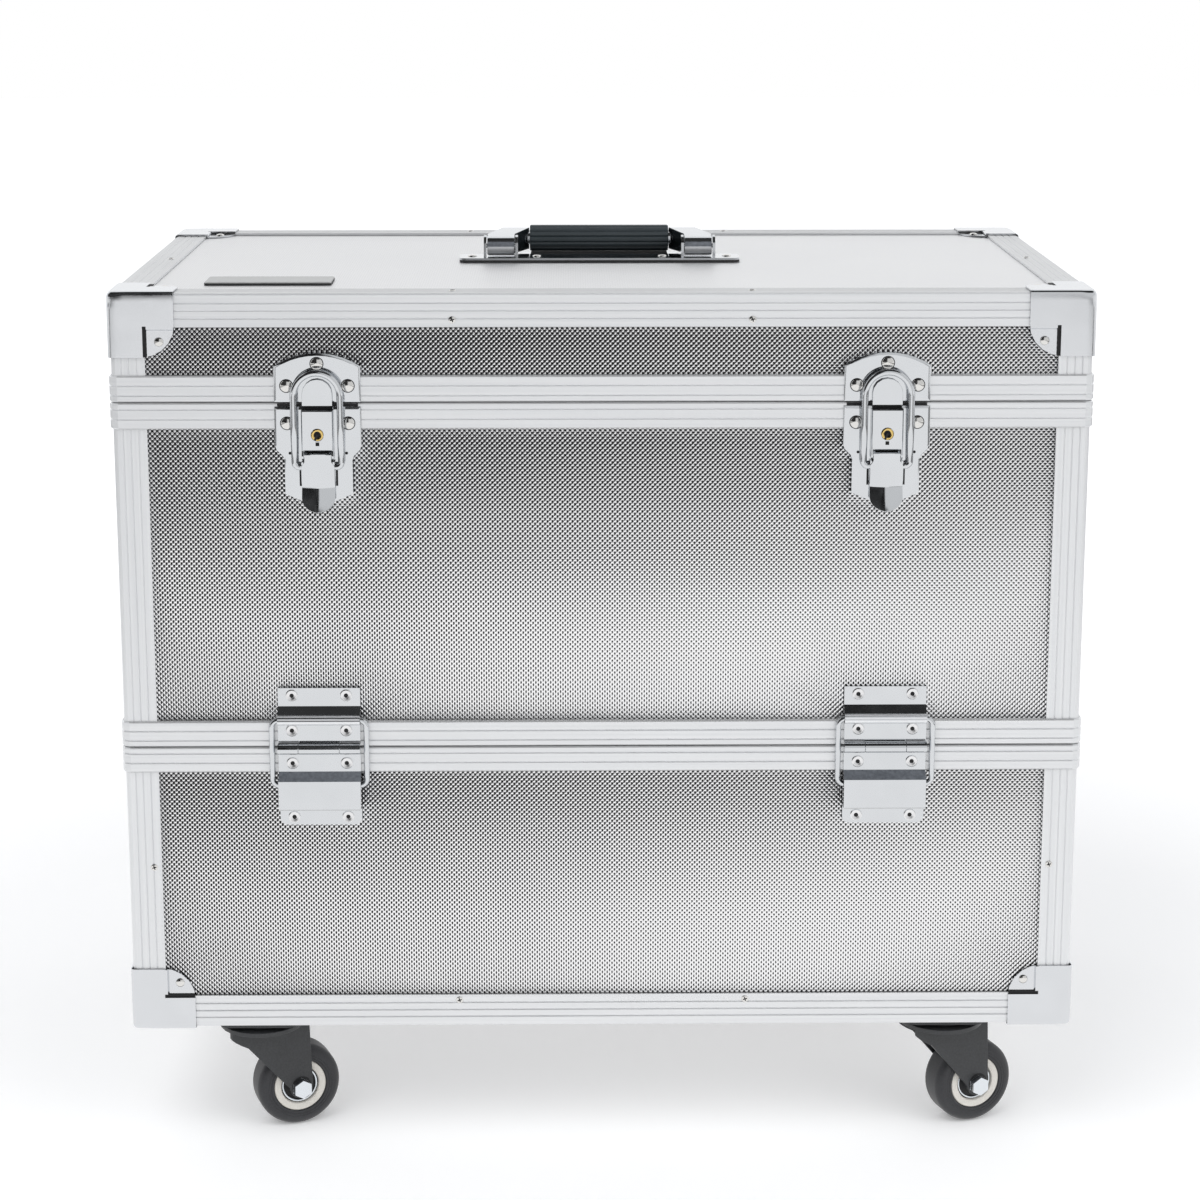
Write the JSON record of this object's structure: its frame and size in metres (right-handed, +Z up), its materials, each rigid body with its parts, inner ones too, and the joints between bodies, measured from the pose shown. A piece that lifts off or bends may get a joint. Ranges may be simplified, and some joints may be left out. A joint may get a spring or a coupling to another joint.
{
  "type": "sewing machine case",
  "caption": "Rolling case in stacked sections with aluminium edges, ball corners, stay hinges, draw latches, a folding handle and swivel casters.",
  "frame": {"origin": "on the floor under the centre of the case, level with the bottom of the wheels", "axes": "+X to the right of the case as seen from the front, +Y to the back, +Z up"},
  "size_m": [0.5474, 0.329, 0.5198],
  "materials": {
    "aluminium_extrusion": "satin anodised extrusion with fine grooves",
    "panel_laminate": "thin plywood faced with a silver foil in a fine diamond pattern",
    "corner_chrome": "plated pressed steel",
    "hardware_chrome": "bright plated steel",
    "lock_brass": "bare turned brass",
    "grip_plastic": "ribbed black plastic",
    "caster_steel": "black painted pressed steel",
    "wheel_plastic": "dark tread round a pale hub"
  },
  "bodies": {
    "base": {"base_floor": "panel_laminate", "base_walls": "panel_laminate", "base_frame": "aluminium_extrusion", "base_corner_front_left": "corner_chrome", "base_corner_front_right": "corner_chrome", "base_corner_rear_left": "corner_chrome", "base_corner_rear_right": "corner_chrome", "front_hinge_lower_leaf_left": "hardware_chrome", "front_hinge_lower_leaf_right": "hardware_chrome", "rear_latch_base_left": "hardware_chrome", "rear_latch_base_right": "hardware_chrome", "caster_plate_front_left": "caster_steel", "caster_plate_front_right": "caster_steel", "caster_plate_rear_left": "caster_steel", "caster_plate_rear_right": "caster_steel"},
    "middle": {"middle_walls": "panel_laminate", "middle_frame": "aluminium_extrusion", "front_hinge_upper_leaf_left": "hardware_chrome", "front_hinge_upper_leaf_right": "hardware_chrome", "rear_latch_strike_left": "hardware_chrome", "rear_latch_strike_right": "hardware_chrome", "front_latch_base_left": "hardware_chrome", "front_latch_base_right": "hardware_chrome", "rear_hinge_lower_leaf_left": "hardware_chrome", "rear_hinge_lower_leaf_right": "hardware_chrome"},
    "lid": {"lid_shell": "panel_laminate", "lid_frame": "aluminium_extrusion", "lid_corner_front_left": "corner_chrome", "lid_corner_front_right": "corner_chrome", "lid_corner_rear_left": "corner_chrome", "lid_corner_rear_right": "corner_chrome", "front_latch_strike_left": "hardware_chrome", "front_latch_strike_right": "hardware_chrome", "rear_hinge_upper_leaf_left": "hardware_chrome", "rear_hinge_upper_leaf_right": "hardware_chrome", "handle_plate": "hardware_chrome"},
    "handle": {"handle_frame": "hardware_chrome", "handle_grip": "grip_plastic"},
    "front_hinge_stay_left": {"front_hinge_stay_left": "hardware_chrome"},
    "front_hinge_stay_right": {"front_hinge_stay_right": "hardware_chrome"},
    "rear_hinge_stay_left": {"rear_hinge_stay_left": "hardware_chrome"},
    "rear_hinge_stay_right": {"rear_hinge_stay_right": "hardware_chrome"},
    "front_latch_lever_left": {"front_latch_lever_left": "hardware_chrome"},
    "front_latch_bail_left": {"front_latch_bail_left": "hardware_chrome"},
    "front_latch_lock_left": {"front_latch_lock_left": "lock_brass"},
    "front_latch_lever_right": {"front_latch_lever_right": "hardware_chrome"},
    "front_latch_bail_right": {"front_latch_bail_right": "hardware_chrome"},
    "front_latch_lock_right": {"front_latch_lock_right": "lock_brass"},
    "rear_latch_lever_left": {"rear_latch_lever_left": "hardware_chrome"},
    "rear_latch_bail_left": {"rear_latch_bail_left": "hardware_chrome"},
    "rear_latch_lever_right": {"rear_latch_lever_right": "hardware_chrome"},
    "rear_latch_bail_right": {"rear_latch_bail_right": "hardware_chrome"},
    "caster_fork_front_left": {"caster_fork_front_left": "caster_steel"},
    "caster_wheel_front_left": {"caster_wheel_front_left": "wheel_plastic"},
    "caster_fork_front_right": {"caster_fork_front_right": "caster_steel"},
    "caster_wheel_front_right": {"caster_wheel_front_right": "wheel_plastic"},
    "caster_fork_rear_left": {"caster_fork_rear_left": "caster_steel"},
    "caster_wheel_rear_left": {"caster_wheel_rear_left": "wheel_plastic"},
    "caster_fork_rear_right": {"caster_fork_rear_right": "caster_steel"},
    "caster_wheel_rear_right": {"caster_wheel_rear_right": "wheel_plastic"}
  },
  "joints": [
    {"name": "middle_tilt", "type": "hinge", "parent": "base", "child": "middle", "pos_m": [0, -0.1572, 0.243], "axis": [1, 0, 0], "range_deg": [0, 90]},
    {"name": "lid_hinge", "type": "hinge", "parent": "middle", "child": "lid", "pos_m": [0, 0.1572, 0.442], "axis": [-1, 0, 0], "range_deg": [0, 90]},
    {"name": "handle_fold", "type": "hinge", "parent": "lid", "child": "handle", "pos_m": [0, 0.002, 0.5105], "axis": [1, 0, 0], "range_deg": [0, 90]},
    {"name": "front_hinge_stay_left_swing", "type": "hinge", "parent": "middle", "child": "front_hinge_stay_left", "pos_m": [-0.161, -0.1557, 0.2594], "axis": [1, 0, 0], "range_deg": [-57.2, 0]},
    {"name": "front_hinge_stay_right_swing", "type": "hinge", "parent": "middle", "child": "front_hinge_stay_right", "pos_m": [0.161, -0.1557, 0.2594], "axis": [1, 0, 0], "range_deg": [-57.2, 0]},
    {"name": "rear_hinge_stay_left_swing", "type": "hinge", "parent": "lid", "child": "rear_hinge_stay_left", "pos_m": [-0.161, 0.1557, 0.4584], "axis": [-1, 0, 0], "range_deg": [-57.2, 0]},
    {"name": "rear_hinge_stay_right_swing", "type": "hinge", "parent": "lid", "child": "rear_hinge_stay_right", "pos_m": [0.161, 0.1557, 0.4584], "axis": [-1, 0, 0], "range_deg": [-57.2, 0]},
    {"name": "front_latch_lever_left_lift", "type": "hinge", "parent": "middle", "child": "front_latch_lever_left", "pos_m": [-0.158, -0.1575, 0.413], "axis": [-1, 0, 0], "range_deg": [0, 95]},
    {"name": "front_latch_bail_left_swing", "type": "hinge", "parent": "front_latch_lever_left", "child": "front_latch_bail_left", "pos_m": [-0.158, -0.1577, 0.4065], "axis": [-1, 0, 0], "range_deg": [-95, 0]},
    {"name": "front_latch_lock_left_turn", "type": "hinge", "parent": "middle", "child": "front_latch_lock_left", "pos_m": [-0.158, -0.1595, 0.4249], "axis": [0, -1, 0], "range_deg": [0, 90]},
    {"name": "front_latch_lever_right_lift", "type": "hinge", "parent": "middle", "child": "front_latch_lever_right", "pos_m": [0.158, -0.1575, 0.413], "axis": [-1, 0, 0], "range_deg": [0, 95]},
    {"name": "front_latch_bail_right_swing", "type": "hinge", "parent": "front_latch_lever_right", "child": "front_latch_bail_right", "pos_m": [0.158, -0.1577, 0.4065], "axis": [-1, 0, 0], "range_deg": [-95, 0]},
    {"name": "front_latch_lock_right_turn", "type": "hinge", "parent": "middle", "child": "front_latch_lock_right", "pos_m": [0.158, -0.1595, 0.4249], "axis": [0, -1, 0], "range_deg": [0, 90]},
    {"name": "rear_latch_lever_left_lift", "type": "hinge", "parent": "base", "child": "rear_latch_lever_left", "pos_m": [-0.158, 0.1575, 0.214], "axis": [1, 0, 0], "range_deg": [0, 95]},
    {"name": "rear_latch_bail_left_swing", "type": "hinge", "parent": "rear_latch_lever_left", "child": "rear_latch_bail_left", "pos_m": [-0.158, 0.1577, 0.2075], "axis": [1, 0, 0], "range_deg": [-95, 0]},
    {"name": "rear_latch_lever_right_lift", "type": "hinge", "parent": "base", "child": "rear_latch_lever_right", "pos_m": [0.158, 0.1575, 0.214], "axis": [1, 0, 0], "range_deg": [0, 95]},
    {"name": "rear_latch_bail_right_swing", "type": "hinge", "parent": "rear_latch_lever_right", "child": "rear_latch_bail_right", "pos_m": [0.158, 0.1577, 0.2075], "axis": [1, 0, 0], "range_deg": [-95, 0]},
    {"name": "caster_swivel_front_left", "type": "hinge", "parent": "base", "child": "caster_fork_front_left", "pos_m": [-0.201, -0.1255, 0.073], "axis": [0, 0, 1], "continuous": true},
    {"name": "caster_roll_front_left", "type": "hinge", "parent": "caster_fork_front_left", "child": "caster_wheel_front_left", "pos_m": [-0.1828, -0.11851, 0.025], "axis": [-0.3584, 0.9336, 0], "continuous": true},
    {"name": "caster_swivel_front_right", "type": "hinge", "parent": "base", "child": "caster_fork_front_right", "pos_m": [0.201, -0.1255, 0.073], "axis": [0, 0, 1], "continuous": true},
    {"name": "caster_roll_front_right", "type": "hinge", "parent": "caster_fork_front_right", "child": "caster_wheel_front_right", "pos_m": [0.21921, -0.11851, 0.025], "axis": [-0.3584, 0.9336, 0], "continuous": true},
    {"name": "caster_swivel_rear_left", "type": "hinge", "parent": "base", "child": "caster_fork_rear_left", "pos_m": [-0.201, 0.1255, 0.073], "axis": [0, 0, 1], "continuous": true},
    {"name": "caster_roll_rear_left", "type": "hinge", "parent": "caster_fork_rear_left", "child": "caster_wheel_rear_left", "pos_m": [-0.1828, 0.13249, 0.025], "axis": [-0.3584, 0.9336, 0], "continuous": true},
    {"name": "caster_swivel_rear_right", "type": "hinge", "parent": "base", "child": "caster_fork_rear_right", "pos_m": [0.201, 0.1255, 0.073], "axis": [0, 0, 1], "continuous": true},
    {"name": "caster_roll_rear_right", "type": "hinge", "parent": "caster_fork_rear_right", "child": "caster_wheel_rear_right", "pos_m": [0.21921, 0.13249, 0.025], "axis": [-0.3584, 0.9336, 0], "continuous": true}
  ],
  "couplings": [
    {"joint": "front_hinge_stay_left_swing", "follows": "middle_tilt", "ratio": -0.635},
    {"joint": "front_hinge_stay_right_swing", "follows": "middle_tilt", "ratio": -0.635},
    {"joint": "rear_hinge_stay_left_swing", "follows": "lid_hinge", "ratio": -0.635},
    {"joint": "rear_hinge_stay_right_swing", "follows": "lid_hinge", "ratio": -0.635},
    {"joint": "front_latch_bail_left_swing", "follows": "front_latch_lever_left_lift", "ratio": -1},
    {"joint": "front_latch_bail_right_swing", "follows": "front_latch_lever_right_lift", "ratio": -1},
    {"joint": "rear_latch_bail_left_swing", "follows": "rear_latch_lever_left_lift", "ratio": -1},
    {"joint": "rear_latch_bail_right_swing", "follows": "rear_latch_lever_right_lift", "ratio": -1}
  ]
}
